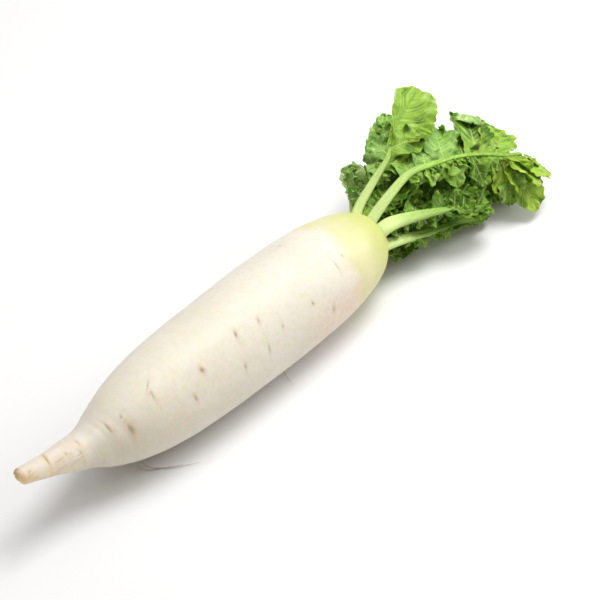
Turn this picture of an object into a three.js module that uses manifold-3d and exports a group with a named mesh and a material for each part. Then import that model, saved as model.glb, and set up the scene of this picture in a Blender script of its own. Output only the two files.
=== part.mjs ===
// A daikon radish lying on its side: one thick white taproot with its bent tail and green crown, and the
// tuft of lobed leaves that grows from the crown. Millimetres, +Z up, +X from the tail to the leaves. The
// origin is on the flat spot that the root rests on, under its widest part.

import * as THREE from 'three';
import { mergeVertices } from 'three/addons/utils/BufferGeometryUtils.js';
import Module from 'manifold-3d';

// Driving dimensions of the root
// Height of the centreline above the surface, a little less than the greatest radius, which makes the flat
const AXIS_HEIGHT = 38.1;
const ROOT_SIDES = 36;
const ROOT_RINGS = 34;
const TAIL_START = -149; // where the tail begins to rise
const TAIL_SLOPE = 0.335;
const TAIL_SOFTNESS = 6; // how gradually it begins
// Stations along the root, [distance from the widest part, radius], from the broken tail end to the crown
const ROOT_PROFILE = [
  [-212, 4.4], [-209.5, 6.3], [-200, 7.4], [-186, 9.2], [-172, 11.6], [-159, 14.4], [-146, 19.8],
  [-130, 26], [-110, 31.4], [-85, 35], [-58, 36.9], [-30, 38.1], [0, 39.2], [30, 39.5], [58, 38.8],
  [80, 37.1], [95, 34.6], [106, 32.2], [116, 28.8], [124, 24.5], [130, 19.8], [133.5, 15.5],
];
const CROWN_TIP = 135; // the low dome that the leaves stand on

// Driving dimensions of the leaves
const GAP = 0.3; // left between a leaf's base and the crown
const BLADE_THICKNESS = 0.7;
const LOWEST = 0.2; // height of the underside of a leaf that lies on the surface
const LANDING = 1.5; // how softly a leaf bends onto the surface
const STALK_SIDES = 8;
const STALK_FLATNESS = 0.62; // height of a stalk's upper half against its width
const BLADE_COLUMNS = 4;
const ROW_LENGTH = 6; // of a blade's grid
const JOINED_WIDTH = 0.6; // share of a lobe's width that joins the stalk
const TOOTH_DEPTH = 0.16; // of the cut edge, as a share of the half width
const TEETH = 3; // along each edge, one fewer on a lobe shorter than SHORT_LOBE
const SHORT_LOBE = 19;
const RUFFLE = 0.1; // height of the waved edge as a share of the blade's width
const RUFFLE_WAVES = 1.6;
const CUP = 0.1; // how far the edges stand above the midrib, as a share of the width

// Each leaf has: the centreline of its stalk and midrib, from inside the crown to the tip; the direction
// that its upper side faces; the stalk as [radius at the base, radius at the tip, place where it narrows];
// the end lobe as [start along the centreline, width to the left, width to the right]; and the side lobes as
// [place along the centreline, turn from the stalk's direction in degrees with left positive, lift in
// degrees, length, width, droop as a share of the length, roll in degrees].
const LEAVES = [
  {
    name: 'leaf_tall',
    centreline: [
      [120, 3, 46], [131, 11, 56.5], [153, 14.5, 69], [174, 17, 79], [185, 23, 85], [197, 28, 90],
      [211, 32, 95], [238, 37, 102],
    ],
    faces: [-0.35, -0.45, 0.82],
    stalk: [3.9, 1, 0.4],
    end: [0.53, 14, 27],
    lobes: [
      [0.34, 60, 15, 14, 13, 0.2, 0],
      [0.45, 56, 25, 22, 20, 0.2, 0],
      [0.4, -62, 6, 24, 20, 0.3, 0],
      [0.51, -58, 14, 25, 24, 0.3, 0],
    ],
  },
  {
    name: 'leaf_arched',
    centreline: [
      [118, -1, 44], [131, -3, 57], [151, -2, 68], [175, -3, 74], [196, -9, 74], [221, -13, 69],
      [246, -19, 61], [268, -27, 52], [292, -32, 42], [304, -37, 30], [313, -47, 18],
    ],
    faces: [-0.2, -0.1, 1],
    stalk: [4.8, 1.1, 0.4],
    end: [0.8, 5, 17],
    lobes: [
      [0.37, 62, 1, 31, 26, 0.15, 0],
      [0.465, 60, 14, 43, 38, 0.2, 0],
      [0.56, 62, 18, 42, 38, 0.25, 0],
      [0.655, 64, 8, 38, 40, 0.15, 0],
      [0.45, -60, -30, 25, 22, 0.2, 30],
      [0.56, -55, -35, 30, 26, 0.2, 30],
      [0.67, -55, -40, 38, 28, 0.2, 30],
      [0.8, -66, -48, 48, 31, 0.05, 30],
      [0.76, -106, -32, 38, 24, 0.1, 30],
      [0.73, -84, -50, 41, 27, 0.1, 30],
    ],
  },
  {
    name: 'leaf_broad',
    centreline: [
      [118, -8, 40], [133, -13, 50], [150, -15, 52], [176, -25, 48], [203, -33, 41],
      [232, -38, 30],
    ],
    faces: [-0.2, -0.4, 0.9],
    stalk: [5.6, 1.1, 0.62],
    end: [0.68, 15, 14],
    lobes: [
      [0.38, 50, 9, 22, 18, 0.2, 0],
      [0.5, 50, 0, 26, 22, 0.2, 0],
      [0.66, 45, 0, 26, 22, 0.2, 0],
      [0.34, -52, -30, 15, 16, 0.2, 0],
      [0.47, -52, -20, 15, 15, 0.2, 0],
      [0.6, -50, -10, 18, 16, 0.2, 0],
    ],
  },
  {
    name: 'leaf_low',
    centreline: [
      [118, -10, 34], [133, -16, 38], [150, -19, 35], [170, -21, 28], [193, -24, 22],
      [214, -26, 16], [244, -34, 9],
    ],
    faces: [-0.2, -0.3, 0.9],
    stalk: [4.6, 0.9, 0.5],
    end: [0.66, 12, 10],
    lobes: [
      [0.3, 52, 2, 17, 17, 0.2, 0],
      [0.45, 50, 6, 22, 22, 0.2, 0],
      [0.6, 45, 5, 20, 16, 0.2, 0],
      [0.44, -44, 0, 13, 12, 0.2, 0],
      [0.62, -40, 0, 14, 12, 0.2, 0],
    ],
  },
  {
    name: 'leaf_floor',
    centreline: [[120, -6, 22], [134, -9, 23], [148, -9, 15], [162, -10, 9], [180, -12, 6]],
    faces: [-0.1, -0.1, 1],
    stalk: [3.4, 0.9, 0.4],
    end: [0.55, 12, 10],
    lobes: [
      [0.42, 60, 5, 16, 12, 0.1, 0],
      [0.42, -50, 0, 11, 10, 0.1, 0],
    ],
  },
  {
    name: 'leaf_left',
    centreline: [[120, 8, 34], [133, 16, 38], [144, 27, 47], [151, 36, 58], [158, 44, 68]],
    faces: [-0.5, 0.2, 0.85],
    stalk: [3.8, 0.9, 0.4],
    end: [0.55, 10, 17],
    lobes: [
      [0.4, -50, -35, 14, 13, 0.1, 0],
    ],
  },
  {
    name: 'leaf_back',
    centreline: [
      [120, 6, 42], [134, 12, 50], [149, 20, 57], [167, 27, 62], [187, 37, 66], [209, 49, 70],
      [230, 61, 71],
    ],
    faces: [-0.3, -0.2, 0.9],
    stalk: [3.9, 0.9, 0.4],
    end: [0.55, 11, 16],
    lobes: [
      [0.57, 32, 28, 13, 13, 0.2, 0],
      [0.5, -55, 12, 15, 13, 0.2, 0],
    ],
  },
  {
    name: 'leaf_inner',
    centreline: [
      [120, 1, 44], [134, 4, 49], [146, 8, 53], [160, 10, 56], [176, 13, 57.5], [193, 15, 59],
    ],
    faces: [-0.4, -0.3, 0.9],
    stalk: [2.6, 0.8, 0.4],
    end: [0.52, 13, 14],
    lobes: [
      [0.42, 42, -20, 11, 10, 0.2, 0],
      [0.42, -50, 5, 17, 14, 0.2, 0],
      [0.58, -60, 0, 19, 16, 0.2, 0],
    ],
  },
  {
    name: 'leaf_under',
    centreline: [[120, 8, 26], [134, 13, 26], [152, 22, 19], [178, 34, 9], [205, 44, 2], [232, 52, 0]],
    faces: [-0.1, 0.1, 1],
    stalk: [4, 0.9, 0.45],
    end: [0.6, 14, 14],
    lobes: [
      [0.42, 55, 5, 19, 15, 0.1, 0],
      [0.42, -55, 5, 19, 14, 0.1, 0],
      [0.56, 52, 5, 21, 16, 0.1, 0],
      [0.56, -52, 5, 21, 15, 0.1, 0],
    ],
  },
  {
    name: 'leaf_middle',
    centreline: [
      [120, -2, 34], [136, -3, 37], [157, -2, 40], [184, -4, 40], [218, -5, 34], [252, -9, 26],
      [290, -19, 15],
    ],
    faces: [-0.2, -0.2, 1],
    stalk: [4, 0.9, 0.5],
    end: [0.66, 20, 22],
    lobes: [
      [0.37, 40, 12, 35, 32, 0.1, 0],
      [0.44, 56, 16, 38, 28, 0.1, 0],
      [0.51, 62, 8, 33, 34, 0.1, 0],
      [0.66, 50, 5, 31, 26, 0.1, 0],
      [0.46, -50, 5, 22, 20, 0.1, 0],
      [0.6, -50, 5, 27, 24, 0.1, 0],
    ],
  },
];

const WHITE_FLESH = new THREE.MeshStandardMaterial({ color: 0xece6d6, roughness: 0.5, metalness: 0 });
const LEAF_GREEN = new THREE.MeshStandardMaterial({ color: 0x6f9e38, roughness: 0.55, metalness: 0 });

const wasm = await Module();
wasm.setup();

function smoothStep(from, to, value) {
  const share = Math.min(1, Math.max(0, (value - from) / (to - from)));
  return share * share * (3 - 2 * share);
}

// A value that follows x where x is well above zero and eases out to zero below it
function softPositive(x, softness) {
  return (x + Math.sqrt(x * x + softness * softness)) / 2;
}

// A repeatable number from 0 to 1 for each whole number
function scatter(index) {
  const wild = Math.sin(index * 12.9898) * 43758.5453;
  return wild - Math.floor(wild);
}

function toSolid(geometry) {
  geometry.deleteAttribute('normal');
  geometry.deleteAttribute('uv');
  const merged = mergeVertices(geometry, 1e-4);
  return new wasm.Manifold(new wasm.Mesh({
    numProp: 3,
    vertProperties: new Float32Array(merged.attributes.position.array),
    triVerts: new Uint32Array(merged.index.array),
  }));
}

function toMesh(name, solid, material) {
  const { vertProperties, triVerts } = solid.getMesh();
  const geometry = new THREE.BufferGeometry();
  geometry.setAttribute('position', new THREE.BufferAttribute(vertProperties, 3));
  geometry.setIndex(new THREE.BufferAttribute(triVerts, 1));
  geometry.computeVertexNormals();
  const mesh = new THREE.Mesh(geometry, material);
  mesh.name = name;
  return mesh;
}

// Drops the loose scraps that a cut can leave
function largestPiece(solid) {
  return solid.decompose().reduce((best, piece) => (piece.volume() > best.volume() ? piece : best));
}

// The root as a turned form whose tail then rises. `extra` grows its radius.
function makeRoot(extra) {
  const stations = ROOT_PROFILE.map(([along, radius]) => new THREE.Vector2(radius + extra, along));
  const profile = new THREE.SplineCurve(stations).getPoints(ROOT_RINGS);
  profile.unshift(new THREE.Vector2(0, ROOT_PROFILE[0][0] - extra));
  profile.push(new THREE.Vector2(0, CROWN_TIP + extra));
  const geometry = new THREE.LatheGeometry(profile, ROOT_SIDES);
  geometry.rotateZ(-Math.PI / 2);
  const position = geometry.attributes.position;
  for (let i = 0; i < position.count; i += 1) {
    const rise = TAIL_SLOPE * softPositive(TAIL_START - position.getX(i), TAIL_SOFTNESS);
    position.setZ(i, position.getZ(i) + AXIS_HEIGHT + rise);
  }
  return toSolid(geometry);
}

// The part of space below the resting surface, which is cut from the belly
function belowSurface() {
  const size = 800;
  const block = new THREE.BoxGeometry(size, size, size);
  block.translate(0, 0, -size / 2);
  return toSolid(block);
}

function blend(a, shareOfA, b, shareOfB) {
  return a.clone().multiplyScalar(shareOfA).addScaledVector(b, shareOfB);
}

// Position and directions on a leaf's centreline: along it, to its left, and out of its upper side
function frameAt(curve, faces, at) {
  const along = curve.getTangent(at);
  const up = faces.clone().addScaledVector(along, -faces.dot(along)).normalize();
  const left = up.clone().cross(along);
  return { place: curve.getPoint(at), along, left, up };
}

// Bends what would go below the surface onto it
function aboveSurface(point) {
  point.z = LOWEST + softPositive(point.z - LOWEST, LANDING);
  return point;
}

function makeStalk(leaf, curve, faces) {
  const [baseRadius, tipRadius, narrow] = leaf.stalk;
  const steps = 2 * (leaf.centreline.length - 1);
  const geometry = new THREE.CylinderGeometry(1, 1, 1, STALK_SIDES, steps);
  const position = geometry.attributes.position;
  const vertex = new THREE.Vector3();
  for (let i = 0; i < position.count; i += 1) {
    vertex.fromBufferAttribute(position, i);
    const at = 0.97 * (vertex.y + 0.5);
    const { place, left, up } = frameAt(curve, faces, at);
    const radius = baseRadius + (tipRadius - baseRadius) * smoothStep(narrow - 0.35, narrow + 0.3, at);
    const height = vertex.z > 0 ? vertex.z * STALK_FLATNESS : vertex.z;
    place.addScaledVector(left, -vertex.x * radius).addScaledVector(up, height * radius);
    place.z = Math.max(place.z, LOWEST);
    position.setXYZ(i, place.x, place.y, place.z);
  }
  return toSolid(geometry);
}

// A thin closed blade. `middle(s)` gives the frame on its midrib from 0 to 1, and `halfWidth(s, side)` its
// half width there.
function makeBlade(rows, middle, halfWidth, phase) {
  const top = [];
  const bottom = [];
  for (let row = 0; row <= rows; row += 1) {
    const s = row / rows;
    const { place, left, up } = middle(s);
    for (let column = 0; column <= BLADE_COLUMNS; column += 1) {
      const v = (2 * column) / BLADE_COLUMNS - 1;
      const reach = halfWidth(s, v) * v;
      const wave = Math.sin(2 * Math.PI * RUFFLE_WAVES * s + phase + v);
      const rise = (CUP + RUFFLE * wave) * v * v * 2 * halfWidth(s, v) * smoothStep(0, 0.25, s);
      const point = place.clone().addScaledVector(left, reach).addScaledVector(up, rise);
      const lower = aboveSurface(point.clone().addScaledVector(up, -BLADE_THICKNESS / 2));
      const upper = aboveSurface(point.clone().addScaledVector(up, BLADE_THICKNESS / 2));
      upper.z = Math.max(upper.z, LOWEST + BLADE_THICKNESS);
      top.push(upper);
      bottom.push(lower);
    }
  }
  return toSolid(sheetGeometry(top, bottom, rows));
}

// Joins a top and a bottom grid, split into triangles alike, by a rim
function sheetGeometry(top, bottom, rows) {
  const width = BLADE_COLUMNS + 1;
  const offset = top.length;
  const index = [];
  const quad = (a, b, c, d) => index.push(a, b, c, a, c, d);
  for (let row = 0; row < rows; row += 1) {
    for (let column = 0; column < BLADE_COLUMNS; column += 1) {
      const a = row * width + column;
      const b = a + width;
      index.push(a, b, b + 1, a, b + 1, a + 1);
      index.push(offset + a, offset + b + 1, offset + b, offset + a, offset + a + 1, offset + b + 1);
    }
    const right = row * width;
    const leftEdge = right + BLADE_COLUMNS;
    quad(right, offset + right, offset + right + width, right + width);
    quad(leftEdge, leftEdge + width, offset + leftEdge + width, offset + leftEdge);
  }
  for (let column = 0; column < BLADE_COLUMNS; column += 1) {
    const near = column;
    const far = rows * width + column;
    quad(near, near + 1, offset + near + 1, offset + near);
    quad(far, offset + far, offset + far + 1, far + 1);
  }
  const points = [...top, ...bottom].flatMap((point) => point.toArray());
  const geometry = new THREE.BufferGeometry();
  geometry.setAttribute('position', new THREE.Float32BufferAttribute(points, 3));
  geometry.setIndex(index);
  return geometry;
}

// Half of an oval that is widest at `widest` and still has a share of its width at both ends
function ovalHalf(s, widest, start, finish) {
  const before = widest / Math.sqrt(1 - start * start);
  const after = (1 - widest) / Math.sqrt(1 - finish * finish);
  return Math.sqrt(1 - ((s - widest) / (s < widest ? before : after)) ** 2);
}

function toothed(s, teeth) {
  return 1 - TOOTH_DEPTH * (0.5 - 0.5 * Math.cos(2 * Math.PI * teeth * s));
}

function makeEndLobe(leaf, curve, faces, phase) {
  const [start, leftWidth, rightWidth] = leaf.end;
  const length = curve.getLength() * (1 - start);
  const repeats = Math.max(1, Math.round(length / ROW_LENGTH / (2 * TEETH)));
  const middle = (s) => frameAt(curve, faces, start + (1 - start) * s);
  const outline = (s) => ovalHalf(s, 0.58, 0.3, 0.45) * toothed(s, TEETH);
  const halfWidth = (s, v) => (v > 0 ? leftWidth : rightWidth) * outline(s);
  return makeBlade(2 * TEETH * repeats, middle, halfWidth, phase);
}

function makeSideLobe(curve, faces, lobe, phase) {
  const [at, turn, lift, length, width, droop, roll] = lobe;
  const stem = frameAt(curve, faces, at);
  const turned = THREE.MathUtils.degToRad(turn);
  const lifted = THREE.MathUtils.degToRad(lift);
  const level = blend(stem.along, Math.cos(turned), stem.left, Math.sin(turned));
  const out = blend(level, Math.cos(lifted), stem.up, Math.sin(lifted));
  const up = blend(stem.up, Math.cos(lifted), level, -Math.sin(lifted));
  up.applyAxisAngle(out, THREE.MathUtils.degToRad(roll));
  const across = up.clone().cross(out);
  const joined = stem.along.clone().multiplyScalar(-Math.sign(turn));
  const middle = (s) => ({
    place: stem.place.clone().addScaledVector(out, length * s).addScaledVector(up, -droop * length * s * s),
    left: joined.clone().lerp(across, smoothStep(0, 0.4, s)).normalize(),
    up,
  });
  const teeth = length < SHORT_LOBE ? TEETH - 1 : TEETH;
  const halfWidth = (s) => (width / 2) * ovalHalf(s, 0.55, JOINED_WIDTH, 0.34) * toothed(s, teeth);
  return makeBlade(2 * teeth, middle, halfWidth, phase);
}

function makeLeaf(leaf, order, crown) {
  const points = leaf.centreline.map((point) => new THREE.Vector3(...point));
  const curve = new THREE.CatmullRomCurve3(points, false, 'catmullrom');
  const faces = new THREE.Vector3(...leaf.faces).normalize();
  let solid = makeStalk(leaf, curve, faces);
  const phaseOf = (index) => 2 * Math.PI * scatter(10 * order + index);
  solid = solid.add(makeEndLobe(leaf, curve, faces, phaseOf(0)));
  leaf.lobes.forEach((lobe, index) => {
    solid = solid.add(makeSideLobe(curve, faces, lobe, phaseOf(index + 1)));
  });
  return toMesh(leaf.name, largestPiece(solid.subtract(crown)), LEAF_GREEN);
}

const daikon = new THREE.Group();
const taproot = makeRoot(0);
daikon.add(toMesh('taproot', taproot.subtract(belowSurface()), WHITE_FLESH));
const crown = makeRoot(GAP);
LEAVES.forEach((leaf, order) => daikon.add(makeLeaf(leaf, order + 1, crown)));

export default daikon;
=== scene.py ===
"""A daikon radish lying on its side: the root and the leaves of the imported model, made finer and coloured.

Lengths are in millimetres until a mesh is made, which is in metres. Angles in the tables are in degrees.
"""

import math
from itertools import product

import bmesh
import bpy
import numpy as np
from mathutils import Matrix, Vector


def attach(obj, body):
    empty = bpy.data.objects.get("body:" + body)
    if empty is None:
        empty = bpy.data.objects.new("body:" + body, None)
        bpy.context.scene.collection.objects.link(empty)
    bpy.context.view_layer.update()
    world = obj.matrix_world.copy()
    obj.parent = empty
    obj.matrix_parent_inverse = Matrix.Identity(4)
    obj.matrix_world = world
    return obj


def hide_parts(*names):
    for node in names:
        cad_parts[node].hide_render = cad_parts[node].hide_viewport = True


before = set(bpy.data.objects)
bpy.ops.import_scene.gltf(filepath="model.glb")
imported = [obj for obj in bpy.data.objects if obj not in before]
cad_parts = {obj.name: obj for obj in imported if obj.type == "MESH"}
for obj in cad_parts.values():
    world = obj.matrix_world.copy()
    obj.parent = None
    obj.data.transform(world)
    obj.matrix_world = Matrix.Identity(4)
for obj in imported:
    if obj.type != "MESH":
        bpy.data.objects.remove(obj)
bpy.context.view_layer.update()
scene = bpy.context.scene

MM = 0.001

# The height of the root's axis, and where, how steeply and how softly its tail bends up
AXIS_HEIGHT = 38.1
TAIL_START = -149
TAIL_SLOPE = 0.335
TAIL_SOFTNESS = 6
# The root's outline as points [along, radius]
ROOT_PROFILE = [
    (-212, 4.4), (-209.5, 6.3), (-200, 7.4), (-186, 9.2), (-172, 11.6), (-159, 14.4), (-146, 19.8),
    (-130, 26), (-110, 31.4), (-85, 35), (-58, 36.9), (-30, 38.1), (0, 39.2), (30, 39.5), (58, 38.8),
    (80, 37.1), (95, 34.6), (106, 32.2), (116, 28.8), (124, 24.5), (130, 19.8), (133.5, 15.5),
]
CROWN_TIP = 135
BREAK = -209
OUTLINE_STEPS = 3000
ROOT_SIDES = 280
ROOT_RINGS = 345
WELD_DISTANCE = 1e-6

# Scars where side roots grew: [place along the root, angle round it from +Y, half length, half width,
# tilt, depth, darkness, brownness]. Without a tilt a scar runs round the root.
# Its stain ends where the square of the distance, in half widths and lengths, is SCAR_REACH.
SCAR_REACH = 20
SCARS = [
    (-38.6, 124.4, 2.6, 0.9, 20, 0.7, 1, 0.6),
    (-18.1, 127, 2.2, 0.8, 25, 0.45, 0.55, 0.3),
    (-3.9, 146.7, 1.2, 0.7, 0, 0.3, 0.7, 0.5),
    (-21.2, 157.6, 3.2, 0.7, 12, 0.45, 0.7, 0.25),
    (-44.5, 157.7, 2, 0.9, 10, 0.4, 0.7, 0.3),
    (-74.7, 132.3, 1.9, 1.2, 0, 0.6, 0.9, 1),
    (-88.3, 153.6, 2.1, 0.8, 0, 0.5, 0.8, 0.5),
    (-110, 108, 4, 0.5, 50, 0.4, 0.5, 0.3),
    (-111.9, 120, 3, 0.6, 12, 0.5, 0.7, 0.5),
    (-135.7, 116.6, 1.1, 0.6, 20, 0.3, 0.6, 0.3),
    (-145.7, 116.5, 3.6, 0.65, 0, 0.55, 0.9, 0.5),
    (-135.3, 141, 3.6, 1.3, 0, 0.8, 0.65, 1),
    (27.2, 146.8, 1.3, 0.8, 0, 0.4, 0.9, 0.4),
    (62, 131, 4.2, 0.6, 0, 0.4, 0.55, 0.2),
    (71.7, 125.6, 1, 0.6, 0, 0.3, 0.5, 0.6),
    (44.1, 167.6, 2.4, 0.9, 10, 0.4, 0.5, 0.9),
    (46.4, 69.4, 1.6, 0.6, 0, 0.3, 0.35, 0.2),
    (-178.6, 122.2, 1.1, 0.7, 0, 0.4, 0.6, 0.4),
    (-176, 128, 0.6, 0.5, 0, 0.3, 0.5, 0.3),
    (-169.7, 136.2, 1.6, 0.6, 0, 0.4, 0.55, 0.3),
    (-167, 106, 2.4, 0.5, 0, 0.4, 0.6, 0.4),
    (-191.5, 104, 5.5, 0.9, 10, 0.6, 0.8, 0.5),
    (-206.5, 128, 1.6, 0.6, 60, 0.4, 0.8, 0.8),
    (-208.5, 150, 1.6, 1, 80, 0.3, 0.6, 1),
]

# The row of small scars on the far side
FAR_SCARS = 15
FAR_SCARS_REACH = (-182, 66)
FAR_SCARS_ANGLE = -32
FAR_SCARS_SEED = 11

# Hair roots: points from inside the belly to the surface it rests on, and the thickness where they start
HAIRS = [
    ([(-122, -5, 14), (-121.5, -9, 5), (-118.5, -15.5, 1), (-107.5, -26.4, 0.6), (-93.4, -36, 0.5)], 1.3),
    ([(-126, -5, 15), (-126, -9, 5), (-122, -14, 1), (-112, -22, 0.5), (-102, -29, 0.4)], 0.8),
    ([(8, -20, 3), (6.9, -26, 0.6), (5, -31, 0.4), (2.9, -35.4, 0.3)], 0.5),
]
HAIR_ROWS = 40
HAIR_SIDES = 6
HAIR_KIND = (0, 0, 1)

# What turns a cell's numbers into one that looks random
CELL_FACTORS = (73856093, 19349663, 83492791)
SEED_FACTOR = 26544357
MIXING_FACTORS = (1274126177, 2246822519)
LOW_BITS = 0xFFFFFFFF


def ease(start, end, value):
    """Eases from 0 to 1 while the value runs from start to end."""
    share = np.clip((value - start) / (end - start), 0, 1)
    return share * share * (3 - 2 * share)


def soft_positive(x, softness):
    """Follows x where x is well above zero and eases out to zero below it."""
    return (x + np.sqrt(x * x + softness * softness)) / 2


def scatter(index):
    """A repeatable number from 0 to 1 for each whole number."""
    wild = math.sin(index * 12.9898) * 43758.5453
    return wild - math.floor(wild)


def lattice(cell, seed):
    """A repeatable number from -1 to 1 for each cell of space."""
    mixed = np.bitwise_xor.reduce(cell * CELL_FACTORS, axis=-1) ^ (seed * SEED_FACTOR)
    mixed = ((mixed & LOW_BITS) * MIXING_FACTORS[0]) & LOW_BITS
    mixed = ((mixed ^ (mixed >> 15)) * MIXING_FACTORS[1]) & LOW_BITS
    return ((mixed >> 8) & 0xFFFF) / 32767.5 - 1


def noise(points, size, seed):
    """Smooth noise from -1 to 1 whose lumps are about `size` across."""
    scaled = points / size
    cell = np.floor(scaled).astype(np.int64)
    share = scaled - cell
    share = share * share * (3 - 2 * share)
    total = 0
    for corner in product((0, 1), repeat=3):
        offset = np.array(corner)
        weight = np.prod(np.where(offset == 1, share, 1 - share), axis=-1)
        total = total + weight * lattice(cell + offset, seed)
    return total


def unit(vectors):
    return vectors / np.maximum(np.linalg.norm(vectors, axis=-1, keepdims=True), 1e-9)


def catmull_rom(padded, at):
    """Points and directions at `at`, from 0 to 1, on the curve through all but the first and last point."""
    spans = len(padded) - 3
    place = np.clip(at, 0, 1) * spans
    span = np.minimum(place.astype(int), spans - 1)
    w = (place - span)[..., None]
    before, start, end, after = (padded[span + k] for k in range(4))
    leaving = (end - before) / 2
    arriving = (after - start) / 2
    cubic = 2 * start - 2 * end + leaving + arriving
    square = 3 * end - 3 * start - 2 * leaving - arriving
    points = ((cubic * w + square) * w + leaving) * w + start
    return points, (3 * cubic * w + 2 * square) * w + leaving


def grid_faces(rows, columns, offset=0, closed=False):
    """The faces of a grid of points, kept row by row. A closed grid's last column joins its first."""
    width = columns if closed else columns + 1
    row, column = np.meshgrid(np.arange(rows), np.arange(columns), indexing="ij")
    following = (column + 1) % width
    a = offset + row * width + column
    b = offset + row * width + following
    return np.stack([a, b, b + width, a + width], -1).reshape(-1, 4)


def make_object(name, points, quads, attributes, material):
    """A mesh object from points in millimetres and four-sided faces."""
    mesh = bpy.data.meshes.new(name)
    mesh.vertices.add(len(points))
    mesh.vertices.foreach_set("co", (points * MM).astype(np.float32).ravel())
    mesh.loops.add(quads.size)
    mesh.loops.foreach_set("vertex_index", quads.astype(np.int32).ravel())
    mesh.polygons.add(len(quads))
    mesh.polygons.foreach_set("loop_start", np.arange(0, quads.size, 4, dtype=np.int32))
    for key, values in attributes.items():
        attribute = mesh.attributes.new(key, "FLOAT_VECTOR", "POINT")
        attribute.data.foreach_set("vector", values.astype(np.float32).ravel())
    mesh.update(calc_edges=True)
    mesh.shade_smooth()
    mesh.materials.append(material)
    obj = bpy.data.objects.new(name, mesh)
    scene.collection.objects.link(obj)
    return obj


# ------------ colours

def rgb(red, green, blue):
    """A colour as the renderer takes it, from the 0 to 255 values that a screen shows."""
    shares = np.array([red, green, blue]) / 255
    linear = np.where(shares <= 0.04045, shares / 12.92, ((shares + 0.055) / 1.055) ** 2.4)
    return (*linear.tolist(), 1)


CREAM = rgb(224, 220, 209)
BONE = rgb(219, 214, 200)
ROSY_PATCH = rgb(220, 208, 196)
GREENISH_MOTTLE = rgb(214, 212, 190)
ROSY_MOTTLE = rgb(230, 214, 206)
RING_BEIGE = rgb(207, 194, 170)
TAIL_GREY = rgb(208, 205, 196)
TAIL_BEIGE = rgb(203, 192, 183)
TAIL_TIP = rgb(192, 178, 162)
# Painted warm shade for the lower near flank
WARM_FLANK_SHADE = rgb(226, 198, 180)
CROWN_EDGE = rgb(210, 208, 150)
CROWN_GREEN = rgb(182, 190, 94)
CROWN_TOP = rgb(194, 192, 108)
SCAR_HALO = rgb(196, 174, 140)
SCAR_SLIT = rgb(132, 118, 96)
SPECK = rgb(205, 186, 158)
STREAK = rgb(190, 140, 112)
BROKEN_FACE = rgb(196, 152, 132)
BROKEN_RIM = rgb(108, 86, 66)
HAIR_BROWN = rgb(128, 92, 60)

LEAF_GREEN = rgb(92, 148, 10)
LEAF_BRIGHT = rgb(130, 176, 36)
LEAF_YELLOW = rgb(168, 194, 58)
LEAF_BLUE = rgb(146, 186, 112)
# Paler green and painted highlight
PALE_GREEN_AND_HIGHLIGHT = rgb(206, 228, 160)
# Darker green and painted shade
DARK_GREEN_AND_SHADE = rgb(28, 72, 0)
FINE_DARK = rgb(74, 122, 8)
# Painted shade in the folds and painted highlights on the ridges between side veins
PAINTED_FOLD_SHADE = rgb(74, 124, 10)
PAINTED_RIDGE_HIGHLIGHT = rgb(196, 220, 130)
WORN_EDGE = rgb(186, 184, 76)
VEIN_PALE = rgb(190, 214, 122)
STALK_GREEN = rgb(128, 172, 60)
STALK_PALE = rgb(168, 204, 96)
STALK_BASE = rgb(216, 232, 160)
STALK_TIP = rgb(110, 152, 48)

FLOOR_GREY = (0.8, 0.8, 0.8, 1)
SKY_LOW = (0.12, 0.085, 0.04, 1)
SKY_HIGH = (1.53, 1.55, 1.59, 1)
WHITE = (1, 1, 1, 1)

# The share and the two colours among a colour mix's inputs, and its result
COLOUR_MIX_SOCKETS = (0, 6, 7)
COLOUR_MIX_RESULT = 2

# Where the skin's colour changes, from start to end along the root
TAIL_TINT = (-112, -170)
TAIL_TIP_TINT = (-196, -212)
STREAKED = (-160, -175)
# Where the painted warm shade on the near flank starts and where it is full
WARM_FLANK_SHADE_SPAN = (5, 45)
CROWN_EDGE_TINT = (68, 84)
CROWN_TINT = (84, 126)
CROWN_TOP_TINT = (128, 134)
ROOT_BUMP = 0.16

# A leaf's darkness runs from palest, a painted highlight, to darkest, darker green with painted shade, and
# its stalk has a value above that
PALEST = -1.6
DARKEST = 1
STALK_TONE = (0, 0, 2)
# A lobe's side veins slant towards its tip, and VEIN_NET cells of a fine net between them fill a millimetre
SIDE_VEINS = 5.5
VEIN_SLANT = 0.3
VEIN_NET = 0.45
LEAF_BUMP = 0.25


# ------------ materials

class Graph:
    """Short names for the nodes of one shader tree."""

    def __init__(self, tree):
        self.tree = tree

    def link(self, value, socket):
        """Feeds a socket from a node or gives it a constant."""
        if isinstance(value, bpy.types.NodeSocket):
            self.tree.links.new(value, socket)
        else:
            socket.default_value = value

    def node(self, kind, inputs=(), **settings):
        node = self.tree.nodes.new(kind)
        for key, value in settings.items():
            setattr(node, key, value)
        pairs = inputs.items() if isinstance(inputs, dict) else enumerate(inputs)
        for key, value in pairs:
            self.link(value, node.inputs[key])
        return node

    def math(self, operation, *values, clamp=False):
        return self.node("ShaderNodeMath", values, operation=operation, use_clamp=clamp).outputs[0]

    def times(self, value, *others):
        for other in others:
            value = self.math("MULTIPLY", value, other)
        return value

    def shift(self, value, width):
        """Turns noise from 0 to 1 into a shift of up to half the width either way."""
        return self.times(self.math("SUBTRACT", value, 0.5), width)

    def split(self, vector):
        return self.node("ShaderNodeSeparateXYZ", [vector]).outputs[:3]

    def mix(self, share, first, second):
        """Runs from the first colour to the second while the share runs from 0 to 1."""
        inputs = dict(zip(COLOUR_MIX_SOCKETS, (share, first, second)))
        return self.node("ShaderNodeMix", inputs, data_type="RGBA").outputs[COLOUR_MIX_RESULT]


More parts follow.
